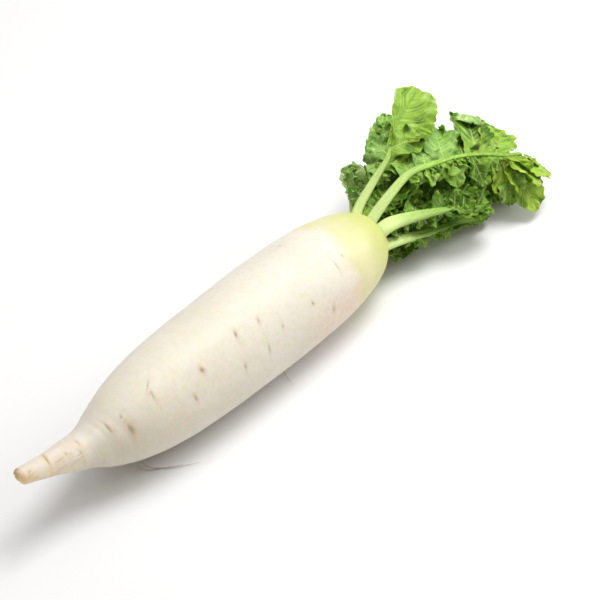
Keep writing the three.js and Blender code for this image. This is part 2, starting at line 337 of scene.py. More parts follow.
class Shader(Graph):
    """A material with one Principled shader. Its places are in millimetres."""

    def __init__(self, name, **constants):
        self.material = bpy.data.materials.new(name)
        self.material.use_nodes = True
        super().__init__(self.material.node_tree)
        self.shader = self.tree.nodes["Principled BSDF"]
        for socket, value in constants.items():
            self.shader.inputs[socket.replace("_", " ")].default_value = value
        place = self.node("ShaderNodeTexCoord").outputs["Object"]
        self.place = self.scaled(place, (1 / MM, 1 / MM, 1 / MM))

    def scaled(self, vector, factors):
        return self.node("ShaderNodeVectorMath", [vector, factors], operation="MULTIPLY").outputs["Vector"]

    def attribute(self, name):
        return self.node("ShaderNodeAttribute", attribute_name=name).outputs["Vector"]

    def band(self, value, start, end, low=0.0, high=1.0):
        """Runs smoothly from low to high while the value runs from start to end."""
        inputs = {"Value": value, "From Min": start, "From Max": end, "To Min": low, "To Max": high}
        return self.node("ShaderNodeMapRange", inputs, interpolation_type="SMOOTHSTEP").outputs["Result"]

    def noise(self, size, stretch=(1, 1, 1), detail=3.0, roughness=0.5, place=None):
        """Noise from 0 to 1 with lumps `size` millimetres across, longer along each axis by its stretch."""
        vector = self.scaled(place or self.place, tuple(1 / (size * share) for share in stretch))
        inputs = {"Vector": vector, "Scale": 1.0, "Detail": detail, "Roughness": roughness}
        return self.node("ShaderNodeTexNoise", inputs).outputs["Fac"]

    def paint(self, base, layers):
        """Lays colours over the base one after another. A layer is [share, colour]."""
        for share, tone in layers:
            base = self.mix(share, base, tone)
        return base

    def finish(self, base, roughness, height, depth):
        """Sets the colour, roughness and bump, whose height runs from 0 to 1 for `depth` millimetres."""
        bump = self.node("ShaderNodeBump", {"Height": height, "Strength": 1.0, "Distance": depth * MM})
        self.link(base, self.shader.inputs["Base Color"])
        self.link(roughness, self.shader.inputs["Roughness"])
        self.link(bump.outputs["Normal"], self.shader.inputs["Normal"])
        return self.material


def root_material():
    made = Shader(
        "root_skin",
        Subsurface_Weight=1.0,
        Subsurface_Radius=(1.0, 0.85, 0.4),
        Subsurface_Scale=0.03,
        Specular_IOR_Level=0.4,
        Coat_Weight=0.06,
        Coat_Roughness=0.3,
    )
    places = made.split(made.place)
    broad = made.noise(46, (1.6, 1, 1), detail=2.0)
    patches = made.noise(17, (1.3, 1, 1), detail=4.0)
    rings = made.noise(2.4, (0.55, 7, 7), detail=4.0, roughness=0.6)
    mottled = made.noise(3.6, detail=3.0)
    specks = made.noise(1.1, detail=2.0)
    halo, slit, hair = scar_shares(made)
    skin = made.paint(made.mix(made.band(broad, 0.35, 0.65), CREAM, BONE), [
        (made.band(patches, 0.5, 0.75, 0, 0.55), ROSY_PATCH),
        (made.band(mottled, 0.48, 0.62, 0, 0.5), GREENISH_MOTTLE),
        (made.band(mottled, 0.46, 0.34, 0, 0.4), ROSY_MOTTLE),
        (made.times(made.band(rings, 0.52, 0.8), made.band(patches, 0.4, 0.6, 0.05, 0.4)), RING_BEIGE),
        *tail_layers(made, places, patches),
        *crown_layers(made, places, patches, mottled),
        (halo, SCAR_HALO),
        (slit, SCAR_SLIT),
        (made.band(specks, 0.68, 0.8, 0, 0.16), SPECK),
        *broken_end_layers(made, places),
        (made.times(hair, 0.9), HAIR_BROWN),
    ])
    roughness = made.band(patches, 0.3, 0.7, 0.42, 0.56)
    relief = made.math("ADD", made.times(rings, 0.7), made.times(specks, 0.3))
    return made.finish(skin, roughness, relief, ROOT_BUMP)


def tail_layers(made, places, patches):
    """Beige towards the tail."""
    uneven = made.math("ADD", places[0], made.shift(patches, 40.0))
    tail = made.mix(made.band(patches, 0.35, 0.65), TAIL_GREY, TAIL_BEIGE)
    return [
        (made.band(uneven, *TAIL_TINT, 0, 0.85), tail),
        (made.band(uneven, *TAIL_TIP_TINT, 0, 0.45), TAIL_TIP),
    ]


def crown_layers(made, places, patches, mottled):
    """Painted warm shade low on the near flank, then yellow-green towards the crown."""
    along, across, height = places
    uneven = made.math("ADD", along, made.shift(patches, 22.0))
    low = made.times(made.band(height, 62, 40), made.band(across, 6, -8))
    # Painted warm shade: a rosy tint on the lower near flank
    painted_flank_shade = made.times(low, made.band(along, *WARM_FLANK_SHADE_SPAN), made.band(mottled, 0.3, 0.6), 0.6)
    return [
        (painted_flank_shade, WARM_FLANK_SHADE),
        (made.band(uneven, *CROWN_EDGE_TINT, 0, 0.75), CROWN_EDGE),
        (made.band(uneven, *CROWN_TINT, 0, 0.8), CROWN_GREEN),
        (made.band(along, *CROWN_TOP_TINT, 0, 0.5), CROWN_TOP),
    ]


def broken_end_layers(made, places):
    """Reddish streaks on the tail's near flank, then its broken end, browner on its far side."""
    along, across, _ = places
    streaks = made.noise(1.6, (9, 1, 1), detail=2.0)
    flank = made.times(made.band(along, *STREAKED), made.band(across, 0, -6))
    rim = made.times(made.band(along, BREAK + 0.5, BREAK - 2), made.band(across, 0, 4), 0.7)
    return [
        (made.times(made.band(streaks, 0.5, 0.7), flank, 0.4), STREAK),
        (made.band(along, BREAK, BREAK - 2, 0, 0.5), BROKEN_FACE),
        (rim, BROKEN_RIM),
    ]


def scar_shares(made):
    """How much a scar's stained halo, its dark slit and a hair root show."""
    lengthways, sideways, near = made.split(made.attribute("scar"))
    dark, brown, hair = made.split(made.attribute("scar_kind"))
    square = made.math("ADD", made.times(lengthways, lengthways), made.times(sideways, sideways))
    spread = made.math("ADD", made.math("SQRT", square), made.shift(made.noise(0.9, detail=3.0), 1.5))
    halo = made.times(made.band(spread, 3.6, 0.8), near)
    slit = made.times(made.band(spread, 1.5, 0.2), near)
    browned = made.math("ADD", made.times(brown, 0.28), 0.16)
    return made.times(halo, browned), made.times(slit, made.times(dark, 0.6)), hair


def leaf_material():
    made = Shader(
        "leaf_green",
        Subsurface_Weight=0.25,
        Subsurface_Radius=(0.45, 1.0, 0.15),
        Subsurface_Scale=0.0016,
        Specular_IOR_Level=0.15,
    )
    s, v, reach = made.split(made.attribute("where"))
    yellow, blue, dark = made.split(made.attribute("tone"))
    edge = made.math("ABSOLUTE", v)
    broad = made.noise(13, detail=3.0)
    fine = made.noise(1.6, detail=3.0)
    order = made.times(made.math("SUBTRACT", s, made.times(edge, VEIN_SLANT)), SIDE_VEINS)
    slanting = made.node("ShaderNodeCombineXYZ", [made.times(order, 4.5), v, broad]).outputs[0]
    # Fine ribs along the side veins, painted as stripes of shade and highlight
    ribs = made.noise(1, detail=2.0, place=slanting)
    pale = vein_share(made, s, edge, reach, order)

    worn = made.times(made.band(edge, 0.82, 1.0), made.band(made.noise(9), 0.55, 0.7), 0.5)
    green = made.paint(made.mix(made.band(broad, 0.3, 0.7), LEAF_GREEN, LEAF_BRIGHT), [
        (made.times(yellow, 0.75), LEAF_YELLOW),
        (made.times(blue, 0.7), LEAF_BLUE),
        # Darkness below zero paints highlights and paler leaves, above zero painted shade and darker leaves
        (made.band(dark, 0, PALEST, 0, 0.95), PALE_GREEN_AND_HIGHLIGHT),
        (made.band(dark, 0, DARKEST, 0, 0.85), DARK_GREEN_AND_SHADE),
        (made.band(fine, 0.35, 0.7, 0, 0.3), FINE_DARK),
        # Painted fold shade and ridge highlights in stripes along the side veins
        (made.band(ribs, 0.5, 0.68, 0, 0.4), PAINTED_FOLD_SHADE),
        (made.band(ribs, 0.46, 0.3, 0, 0.35), PAINTED_RIDGE_HIGHLIGHT),
        (worn, WORN_EDGE),
        (made.times(pale, 0.75), VEIN_PALE),
    ])

    # The stalks are paler, nearly white where they leave the crown and greener towards their tips
    streaks = made.noise(1.3, (9, 1, 1), detail=3.0)
    stem = made.paint(made.mix(made.band(streaks, 0.3, 0.7), STALK_GREEN, STALK_PALE), [
        (made.times(reach, 0.85), STALK_BASE),
        (made.band(s, 0.3, 0.8, 0, 0.55), STALK_TIP),
    ])
    is_stalk = made.band(dark, DARKEST + 0.4, DARKEST + 0.6)
    roughness = made.band(broad, 0.3, 0.7, 0.44, 0.58)
    relief = made.math("SUBTRACT", made.times(fine, 0.5), made.times(pale, 0.6))
    return made.finish(made.mix(is_stalk, green, stem), roughness, relief, LEAF_BUMP)


def vein_share(made, s, edge, reach, order):
    """How much the midrib, the side veins and the fine net between them show."""
    narrow = made.band(s, 0, 1, 0.62, 0.16)
    midrib = made.band(made.math("DIVIDE", made.math("ABSOLUTE", reach), narrow), 1.0, 0.35)
    off = made.math("ABSOLUTE", made.math("SUBTRACT", made.math("FRACT", order), 0.5))
    veins = made.times(made.band(off, 0.44, 0.485), made.band(edge, 1.0, 0.45), 0.75)
    inputs = {"Vector": made.scaled(made.place, (VEIN_NET, VEIN_NET, VEIN_NET)), "Scale": 1.0}
    cells = made.node("ShaderNodeTexVoronoi", inputs, feature="DISTANCE_TO_EDGE").outputs["Distance"]
    net = made.times(made.band(cells, 0.09, 0.0), 0.22)
    return made.math("MAXIMUM", midrib, made.math("MAXIMUM", veins, net))


def floor_material():
    return Shader("floor", Specular_IOR_Level=0.0, Base_Color=FLOOR_GREY, Roughness=1).material


# ------------ the root

def root_profile():
    """Points [along, radius] on the root's outline, evenly spread from the tail's end to the crown's tip."""
    stations = np.array(ROOT_PROFILE, float)
    padded = np.vstack([stations[:1], stations, stations[-1:]])
    outline = catmull_rom(padded, np.linspace(0, 1, OUTLINE_STEPS))[0]
    outline = np.vstack([[ROOT_PROFILE[0][0], 0], outline, [CROWN_TIP, 0]])
    steps = np.linalg.norm(np.diff(outline, axis=0), axis=1)
    # Rings lie closer together on the tail and on the crown
    middle = (outline[1:, 0] + outline[:-1, 0]) / 2
    steps = steps * (1 + 0.5 * ease(-120, -150, middle) + 0.5 * ease(110, 128, middle))
    length = np.concatenate([[0], np.cumsum(steps)])
    even = np.linspace(0, length[-1], ROOT_RINGS + 1)
    return np.stack([np.interp(even, length, outline[:, k]) for k in (0, 1)], -1)


def all_scars():
    """The listed scars and small ones on the far side, which grow in the opposite row."""
    rng = np.random.default_rng(FAR_SCARS_SEED)
    scars = list(SCARS)
    for along in np.linspace(*FAR_SCARS_REACH, FAR_SCARS):
        place = along + rng.uniform(-7, 7)
        angle = FAR_SCARS_ANGLE + rng.uniform(-24, 24)
        length = rng.uniform(1.1, 3.4)
        dark = rng.uniform(0.4, 0.95)
        width = rng.uniform(0.6, 1)
        tilt = rng.uniform(-15, 20)
        brown = rng.uniform(0.2, 0.9)
        scars.append((place, angle, length, width, tilt, 0.15 + 0.12 * length, dark, brown))
    return scars


def skin_relief(points, along):
    """How far the skin stands out: broad swellings, wrinkles on the tail and faint rings."""
    ringed = points * np.array([1, 0.14, 0.14])
    tail = ease(-130, -165, along)
    relief = 0.35 * noise(points, 36, 1) + 0.16 * noise(points, 11, 2) + 0.45 * tail * noise(points, 8, 3)
    wrinkled = ease(-112, -138, along) * (1 - 0.6 * ease(-165, -200, along))
    strength = 0.6 + 0.6 * noise(points, 15, 4)
    relief += -0.55 * wrinkled * strength * np.clip(noise(ringed, 2.6, 5), 0, 1)
    relief += -0.05 * np.abs(noise(ringed, 1.7, 6)) * ease(-0.2, 0.6, noise(points, 22, 10))
    return relief


def scar_marks(along, around, radius):
    """The scars' relief, each point's [lengthways, sideways, nearness] in its nearest scar, and its kind."""
    relief = np.zeros(along.shape)
    scar = np.zeros((*along.shape, 3))
    kind = np.zeros(scar.shape)
    for place, degrees, length, width, tilt, depth, dark, brown in all_scars():
        turn = np.angle(np.exp(1j * (around - math.radians(degrees))))
        x = along - place
        y = turn * np.maximum(radius, 4)
        cos, sin = math.cos(math.radians(tilt)), math.sin(math.radians(tilt))
        sideways = (x * cos + y * sin) / width
        lengthways = (y * cos - x * sin) / length
        spread = sideways ** 2 + lengthways ** 2
        close = spread < SCAR_REACH
        near = ease(SCAR_REACH, 0.6 * SCAR_REACH, spread)
        dimple = -depth * np.exp(-spread)
        lip = 0.35 * depth * np.exp(-((sideways - 1.7) / 0.9) ** 2 - (lengthways / 1.1) ** 2)
        relief += np.where(close, dimple + lip, 0)
        better = close & (near > scar[..., 2])
        scar[better] = np.stack([lengthways, sideways, near], -1)[better]
        kind[better] = (dark, brown, 0)
    return relief, scar, kind


def hair_root(line, thick):
    """A thin tube that tapers off."""
    place, _, left, up = Curve(line, (0, 0.1, 1)).at(np.linspace(0, 1, HAIR_ROWS + 1))
    angle = np.linspace(0, 2 * np.pi, HAIR_SIDES, endpoint=False)[None, :, None]
    radius = np.linspace(thick / 2, 0.06, HAIR_ROWS + 1)[:, None, None]
    return place[:, None] + (left[:, None] * np.cos(angle) + up[:, None] * np.sin(angle)) * radius


def make_root():
    profile = root_profile()
    angle = np.linspace(0, 2 * np.pi, ROOT_SIDES, endpoint=False)
    along, around = np.meshgrid(profile[:, 0], angle, indexing="ij")
    radius = np.repeat(profile[:, 1:], ROOT_SIDES, axis=1)
    outwards = np.stack([np.zeros_like(around), np.cos(around), np.sin(around)], -1)
    points = outwards * radius[..., None]
    points[..., 0] = along

    marks, scar, kind = scar_marks(along, around, radius)
    relief = (skin_relief(points, along) + marks) * ease(0, 6, radius)
    points += outwards * relief[..., None]

    # The tail is broken off: its end is a little hollow and ragged
    broken = ease(BREAK - 0.5, BREAK - 3, along)
    hollow = 1.3 * (1 - (radius / 4.6) ** 2) + 0.7 * noise(points, 1.6, 7) + 0.5 * noise(points, 3.5, 8)
    points[..., 0] += broken * hollow
    # The crown is uneven where the leaves grow from it
    points[..., 0] += 0.5 * ease(126, 132, along) * noise(points, 5, 9)

    points[..., 2] += AXIS_HEIGHT + TAIL_SLOPE * soft_positive(TAIL_START - along, TAIL_SOFTNESS)
    points[..., 2] = np.maximum(points[..., 2], 0)

    points, scar, kind = (part.reshape(-1, 3) for part in (points, scar, kind))
    faces = [grid_faces(ROOT_RINGS, ROOT_SIDES, closed=True)]
    for line, thick in HAIRS:
        hair = hair_root(line, thick).reshape(-1, 3)
        faces.append(grid_faces(HAIR_ROWS, HAIR_SIDES, len(points), closed=True))
        points = np.vstack([points, hair])
        scar = np.vstack([scar, np.zeros_like(hair)])
        kind = np.vstack([kind, np.zeros_like(hair) + HAIR_KIND])
    attributes = {"scar": scar, "scar_kind": kind}
    root = make_object("taproot_skin", points, np.vstack(faces), attributes, root_material())
    weld(root)
    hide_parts("taproot")
    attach(root, "root")


def weld(obj):
    """Joins the points that lie on each other, such as a ring that has shrunk to its centre."""
    made = bmesh.new()
    made.from_mesh(obj.data)
    bmesh.ops.remove_doubles(made, verts=made.verts, dist=WELD_DISTANCE)
    bmesh.ops.dissolve_degenerate(made, edges=made.edges, dist=WELD_DISTANCE)
    bmesh.ops.recalc_face_normals(made, faces=made.faces)
    made.to_mesh(obj.data)
    made.free()


# ------------ the leaves

# How low leaves reach, and how softly they bend onto the surface there
LOWEST = 0.2
LANDING = 1.5
STALK_FLATNESS = 0.62
TOOTH_DEPTH = 0.16
TEETH = 3
SHORT_LOBE = 19
FINE_TOOTH_DEPTH = 0.075
FINE_TOOTH_SPACING = 3.6
RUFFLE = 0.1
RUFFLE_WAVES = 1.6
FRILL = 0.045
FRILL_SPACING = 6.5
CUP = 0.1
BLADE_THICKNESS = 0.5
LEAST_THICKNESS = 0.3
# How strongly the relief is painted, as shade in hollows and highlights on raised parts
PAINTED_RELIEF_SHADE = 0.9
FOLD_ANGLE = 155
STALK_SIDES = 24
STALK_ROWS_PER_SPAN = 12
END_ROWS = 60
# How far a lobe's surface rises, as shares of its width. All but the puckers grow with its curliness.
CRINKLE = 0.055
FINE_CRINKLE = 0.03
BANDS = 0.035
PUCKER = 0.022

# How a lobe looks: [yellowness, blueness, darkness, curliness]. Darkness below zero is painted highlight,
# above zero darker green and painted shade.
LOOKS = {
    "light": (0.7, 0.15, -0.1, 0.9),
    # Pale leaflets stand in for highlights
    "pale": (0.3, 0.6, -1, 1.6),
    "smooth": (0.6, 0.2, 0.1, 0.7),
    # The palest look, a painted highlight that lifts the left leaf where it lies in shade
    "frost": (0, 1, -1.6, 1.5),
    "green": (0.35, 0.2, 0.1, 1.4),
    "olive": (1, 0, 0.35, 0.9),
    "blue": (0.2, 0.9, -0.15, 1.7),
    # The dark look of the low lobes, partly painted shade
    "deep": (0.25, 0.15, 0.7, 1.8),
}

# Each leaf has:
# - centreline: points along its stalk and midrib. Places on it run from 0 at the first to 1 at the last.
# - faces: the direction that its upper side faces
# - stalk: [radius at the base, radius at the tip, place where it narrows, place where it ends]
# - end: the end lobe as [place where it starts, look, width to the left, width to the right]
# - outline: instead of the widths, points [share of the end lobe, width to the left, width to the right]
# - lobes: the side lobes as [place, turn to the left, lift, length, width, droop, roll, look]
# - folded: a lobe whose tip is folded over, with the share of its length where it folds before its look
# - leaflets: runs of small curly lobes as [first place, last place, side, how many, size, lift, looks in
#   turn], where side is 1 on the left, -1 on the right and 0 on both
LEAVES = {}
LEAVES["leaf_tall"] = {
    "centreline": [
        (120, 3, 46), (131, 11, 56.5), (153, 14.5, 69), (174, 17, 79), (185, 23, 85), (197, 28, 90),
        (211, 32, 95), (238, 37, 101.7),
    ],
    "faces": (-0.35, -0.45, 0.82),
    "stalk": (3.9, 1, 0.4, 1),
    "end": (0.53, "light"),
    "outline": [
        (0, 2.5, 4), (0.1, 2.5, 10), (0.2, 2.5, 19), (0.34, 3, 24.5), (0.48, 5, 27), (0.66, 8.5, 27.4),
        (0.73, 11, 26.6), (0.81, 14.5, 24.5), (0.86, 15.6, 22), (0.9, 13, 20), (0.93, 9, 18),
        (0.97, 7.5, 15), (1, 5, 10),
    ],
    "lobes": [
        (0.34, 60, -25, 14, 13, 0.2, 0, "blue"),
        (0.45, 56, -10, 22, 20, 0.2, 0, "blue"),
        (0.4, -62, 6, 24, 20, 0.3, 0, "green"),
        (0.51, -58, 14, 29, 26, 0.3, 0, "green"),
    ],
    "leaflets": [(0.27, 0.5, 1, 12, 12, -60, "blue green"), (0.3, 0.5, -1, 9, 10, -50, "green pale")],
}
LEAVES["leaf_arched"] = {
    "centreline": [
        (118, -1, 44), (131, -3, 57), (151.5, -3, 67.5), (175, -3, 74), (196, -9, 74), (221, -13, 69),
        (246, -19, 61), (268, -27, 52), (292, -32, 42), (304, -37, 30), (313, -47, 18),
    ],
    "faces": (-0.2, -0.1, 1),
    "stalk": (4.8, 1.7, 0.3, 0.8),
    "end": (0.8, "olive", 1, 9),
    "lobes": [
        (0.3, 62, -5, 30, 24, 0.2, 0, "blue"),
        (0.37, 62, 1, 31, 26, 0.15, 0, "blue"),
        (0.45, 60, 14, 42, 36, 0.2, 0, "blue"),
        (0.53, 60, 4, 40, 36, 0.2, 0, "deep"),
        (0.62, 62, 8, 44, 30, 0.25, 0, "smooth"),
        (0.67, 64, 8, 42, 40, 0.15, 0, "smooth"),
        (0.72, -26, -14, 46, 24, 0, 0, "olive"),
        (0.45, -60, -30, 25, 22, 0.2, 30, "green"),
        (0.56, -55, -35, 30, 26, 0.2, 30, "deep"),
        (0.67, -55, -40, 38, 28, 0.2, 30, "olive"),
        (0.72, -56, -34, 52, 34, 0.05, 30, "olive"),
        (0.72, -84, -50, 40, 28, 0.1, 30, "green"),
        (0.72, -50, -18, 36, 28, 0, 0, "olive"),
    ],
    "folded": (0.585, 70, 19, 54, 38, 0.2, 0, 0.74, "smooth"),
    "leaflets": [
        (0.28, 0.52, -1, 20, 13, -50, "green pale"), (0.52, 0.72, -1, 20, 13, -60, "green deep pale"),
        (0.3, 0.5, 1, 12, 12, -35, "blue green"),
    ],
}
LEAVES["leaf_broad"] = {
    "centreline": [
        (118, -8, 40), (133, -12.5, 51.5), (150, -15, 50.5), (176, -25, 47.5), (203, -33, 41),
        (232, -38, 30),
    ],
    "faces": (-0.2, -0.4, 0.9),
    "stalk": (5.6, 1.1, 0.62, 0.82),
    "end": (0.68, "deep", 15, 14),
    "lobes": [
        (0.38, 50, -30, 22, 18, 0.2, 0, "deep"),
        (0.5, 50, -25, 26, 22, 0.2, 0, "deep"),
        (0.66, 45, 0, 26, 22, 0.2, 0, "deep"),
        (0.34, -52, -40, 13, 16, 0.2, 0, "deep"),
        (0.44, -52, -45, 12, 14, 0.2, 0, "deep"),
        (0.52, -52, -45, 12, 14, 0.2, 0, "green"),
        (0.6, -50, -35, 14, 14, 0.2, 0, "deep"),
    ],
    "leaflets": [
        (0.3, 0.66, 1, 18, 11, -58, "pale deep"), (0.2, 0.66, -1, 20, 7, -58, "deep green"),
        (0.72, 0.95, 0, 14, 12, 20, "deep"),
    ],
}
LEAVES["leaf_low"] = {
    "centreline": [
        (118, -10, 34), (133, -16, 38), (150, -19, 35), (170, -21, 28), (193, -24, 22), (214, -26, 16),
        (244, -34, 9),
    ],
    "faces": (-0.2, -0.3, 0.9),
    "stalk": (4.6, 2.6, 0.5, 0.95),
    "end": (0.66, "deep", 12, 7),
    "lobes": [
        (0.4, 52, -25, 17, 17, 0.2, 0, "deep"),
        (0.5, 50, -10, 20, 20, 0.2, 0, "deep"),
        (0.62, 45, 0, 20, 16, 0.2, 0, "green"),
        (0.44, -44, 0, 13, 12, 0.2, 0, "deep"),
        (0.62, -40, 0, 14, 12, 0.2, 0, "green"),
    ],
    "leaflets": [
        (0.12, 0.8, 1, 20, 9, -60, "green deep"), (0.34, 0.76, -1, 12, 8, -55, "deep green"),
        (0.14, 0.72, 1, 16, 10, -8, "deep green"),
    ],
}
LEAVES["leaf_floor"] = {
    "centreline": [(120, -6, 22), (134, -9, 23), (148, -9, 15), (162, -10, 9), (180, -12, 6)],
    "faces": (-0.1, -0.1, 1),
    "stalk": (3.4, 0.9, 0.4, 1),
    "end": (0.55, "deep", 11, 6),
    "lobes": [(0.42, 60, 5, 16, 12, 0.1, 0, "deep"), (0.42, -50, 0, 11, 10, 0.1, 0, "deep")],
    "leaflets": [(0.25, 0.95, 1, 18, 11, 10, "deep green")],
}
LEAVES["leaf_left"] = {
    "centreline": [(120, 8, 34), (133, 16, 38), (144, 27, 47), (151, 36, 58), (158, 44, 68)],
    "faces": (-0.5, 0.2, 0.85),
    "stalk": (3.8, 0.9, 0.4, 1),
    # Its pale end and lobes are painted highlight on a leaf in shade
    "end": (0.5, "frost"),
    "outline": [
        (0, 1, 6), (0.3, 1, 12), (0.5, 3.5, 18), (0.7, 6, 20), (0.88, 6, 17), (0.96, 4, 10), (1, 1, 3),
    ],
    "lobes": [(0.4, -50, -35, 18, 14, 0.1, 0, "frost")],
    "leaflets": [(0.25, 0.95, -1, 22, 12, 0, "frost blue"), (0.8, 0.96, 1, 4, 5, 0, "frost")],
}
LEAVES["leaf_back"] = {
    "centreline": [
        (120, 6, 42), (134, 12, 50), (149, 20, 57), (167, 27, 62), (187, 37, 66), (209, 49, 70),
        (230, 61, 71),
    ],
    "faces": (-0.3, -0.2, 0.9),
    "stalk": (3.9, 0.9, 0.4, 1),
    "end": (0.55, "blue", 11, 16),
    "lobes": [
        (0.57, 32, 28, 13, 13, 0.2, 0, "blue"),
        (0.5, -55, 12, 15, 13, 0.2, 0, "blue"),
        (0.75, -60, 0, 30, 20, 0.2, 0, "blue"),
    ],
    "leaflets": [(0.28, 0.9, -1, 18, 11, 0, "blue deep"), (0.35, 0.9, 1, 14, 8, 0, "blue deep")],
}
LEAVES["leaf_inner"] = {
    "centreline": [(120, 1, 44), (134, 4, 49), (146, 8, 53), (160, 10, 56), (176, 13, 57.5), (193, 15, 59)],
    "faces": (-0.4, -0.3, 0.9),
    "stalk": (2.6, 0.8, 0.4, 1),
    "end": (0.52, "green", 13, 20),
    "lobes": [
        (0.42, 42, -20, 11, 10, 0.2, 0, "green"),
        (0.42, -50, 5, 17, 14, 0.2, 0, "green"),
        (0.58, -60, 0, 19, 16, 0.2, 0, "green"),
        (0.75, 4, 14, 43, 26, 0.1, 0, "blue"),
    ],
    "leaflets": [
        (0.1, 0.55, 0, 26, 7, 25, "light pale green"), (0.4, 0.95, 0, 20, 10, 10, "green deep pale"),
    ],
}
LEAVES["leaf_under"] = {
    "centreline": [(120, 8, 26), (134, 13, 26), (152, 22, 19), (178, 34, 9), (205, 44, 2), (232, 52, 0)],
    "faces": (-0.1, 0.1, 1),
    "stalk": (4, 0.9, 0.45, 1),
    "end": (0.6, "deep", 14, 14),
    "lobes": [
        (0.42, 55, 5, 19, 15, 0.1, 0, "deep"),
        (0.42, -55, 5, 19, 14, 0.1, 0, "deep"),
        (0.56, 52, 5, 21, 16, 0.1, 0, "deep"),
        (0.56, -52, 5, 21, 15, 0.1, 0, "deep"),
    ],
    "leaflets": [(0.3, 0.8, 0, 18, 9, 10, "deep")],
}
LEAVES["leaf_middle"] = {
    "centreline": [
        (120, -2, 34), (136, -3, 37), (157, -2, 40), (184, -4, 40), (218, -5, 34), (252, -9, 26),
        (290, -19, 15),
    ],
    "faces": (-0.2, -0.2, 1),
    "stalk": (4, 0.9, 0.5, 1),
    "end": (0.66, "deep", 20, 22),
    "lobes": [
        (0.37, 40, 12, 35, 32, 0.1, 0, "deep"),
        (0.44, 56, 16, 38, 28, 0.1, 0, "green"),
        (0.51, 62, 8, 33, 34, 0.1, 0, "green"),
        (0.66, 50, 5, 31, 26, 0.1, 0, "green"),
        (0.46, -50, 5, 22, 20, 0.1, 0, "deep"),
        (0.6, -50, 5, 27, 24, 0.1, 0, "deep"),
    ],
    "leaflets": [
        (0.2, 0.62, 0, 40, 10, 25, "pale deep green light deep"), (0.36, 0.56, 1, 12, 18, 55, "pale deep"),
        (0.5, 0.95, -1, 22, 13, 0, "green deep deep"), (0.5, 0.95, 1, 18, 11, 20, "deep pale deep"),
        (0.84, 1, -1, 9, 19, -10, "deep"),
    ],
}


class Curve:
    """The smooth line along a leaf's stalk and midrib, with directions along it, to its left and up."""

    def __init__(self, centreline, faces):
        points = np.array(centreline, float)
        self.padded = np.vstack([2 * points[0] - points[1], points, 2 * points[-1] - points[-2]])
        self.faces = unit(np.array(faces, float))
        self.spans = len(points) - 1

    def at(self, share):
        place, along = catmull_rom(self.padded, np.asarray(share, float))
        along = unit(along)
        up = unit(self.faces - along * (along @ self.faces)[..., None])
        return place, along, np.cross(up, along), up

    def length(self, start):
        points = self.at(np.linspace(start, 1, 200))[0]
        return float(np.linalg.norm(np.diff(points, axis=0), axis=1).sum())


class Patch:
    """Gathers the points and faces of one leaf, with two values of each point for its material.

    They are where it lies [share of the lobe's length, share of its half width, distance from the midrib, or
    on a stalk its paleness] and its tone [yellowness, blueness, darkness], the darkness carrying painted
    shade and painted highlights.
    """

    def __init__(self):
        self.points, self.faces, self.where, self.tone = [], [], [], []
        self.count = 0

    def add(self, points, faces, where, tone):
        flat = points.reshape(-1, 3)
        self.points.append(flat)
        self.faces.append(faces + self.count)
        self.where.append(np.broadcast_to(where, points.shape).reshape(-1, 3))
        self.tone.append(np.broadcast_to(tone, points.shape).reshape(-1, 3))
        self.count += len(flat)

    def build(self, name, material):
        attributes = {"where": np.vstack(self.where), "tone": np.vstack(self.tone)}
        return make_object(name, np.vstack(self.points), np.vstack(self.faces), attributes, material)


def above_surface(points):
    """Bends what would go below the surface onto it."""
    points = points.copy()
    points[..., 2] = LOWEST + soft_positive(points[..., 2] - LOWEST, LANDING)
    return points


def oval_half(s, widest, start, finish):
    """Half of an oval that is widest at `widest` and still has a share of its width at both ends."""
    before = widest / math.sqrt(1 - start * start)
    after = (1 - widest) / math.sqrt(1 - finish * finish)
    reach = np.where(s < widest, before, after)
    return np.sqrt(np.maximum(0, 1 - ((s - widest) / reach) ** 2))


def toothed(s, teeth):
    return 1 - TOOTH_DEPTH * (0.5 - 0.5 * np.cos(2 * np.pi * teeth * s))


def rounded_tip(s):
    """Closes the blunt end of a lobe."""
    return np.sqrt(np.maximum(0, 1 - (np.clip(s - 0.9, 0, 0.1) / 0.1) ** 2 * 0.985))


def blade_relief(middle, s, v, curl, seed, size):
    """The crinkles of a blade and the puckers between its side veins, as shares of its width."""
    edge = np.abs(v)
    crinkle = CRINKLE * curl * noise(middle, 0.26 * size + 2, seed) * ease(0.05, 0.5, edge)
    crinkle += FINE_CRINKLE * curl * noise(middle, 0.11 * size + 1, seed + 1) * ease(0.15, 0.8, edge)
    veins = (s - VEIN_SLANT * edge) * SIDE_VEINS
    pucker = PUCKER * np.cos(2 * np.pi * veins) * ease(0.08, 0.4, edge) * ease(1.1, 0.5, edge)
    slant = np.stack([(s - 0.4 * edge) * 10, v * 1.3, np.full_like(s, seed)], -1)
    bands = noise(slant, 1.7, seed + 2) * ease(0.03, 0.2, edge) * ease(1.05, 0.75, edge)
    return (crinkle - pucker + BANDS * curl * bands) * ease(0, 0.2, s)


def blade_tone(s, v, relief, look):
    """Painted shade darkens hollows and the foot of a lobe, painted highlights lighten raised parts, and
    rims are paler.
    """
    yellow, blue, dark, curl = look
    edge = np.abs(v)
    hollow = relief / (0.06 * curl)
    # Painted shade and highlights from the relief, painted shade at the lobe's foot, paler rims
    shade = dark - PAINTED_RELIEF_SHADE * hollow + 0.3 * (1 - ease(0, 0.3, s)) - 0.15 * edge ** 4
    shade = np.clip(shade, PALEST, DARKEST)
    return np.stack(np.broadcast_arrays(yellow + 0.25 * edge ** 6, blue, shade), -1)


def closed_faces(rows, columns):
    """The faces of a sheet of points, of another under it, and of the rim that joins the two."""
    width = columns + 1
    count = (rows + 1) * width
    top = grid_faces(rows, columns)
    border = np.concatenate([
        np.arange(width), width * np.arange(1, rows + 1) + columns,
        width * rows + np.arange(columns - 1, -1, -1), width * np.arange(rows - 1, 0, -1),
    ])
    following = np.roll(border, -1)
    rim = np.stack([border, border + count, following + count, following], -1)
    return np.vstack([top, top[:, ::-1] + count, rim])


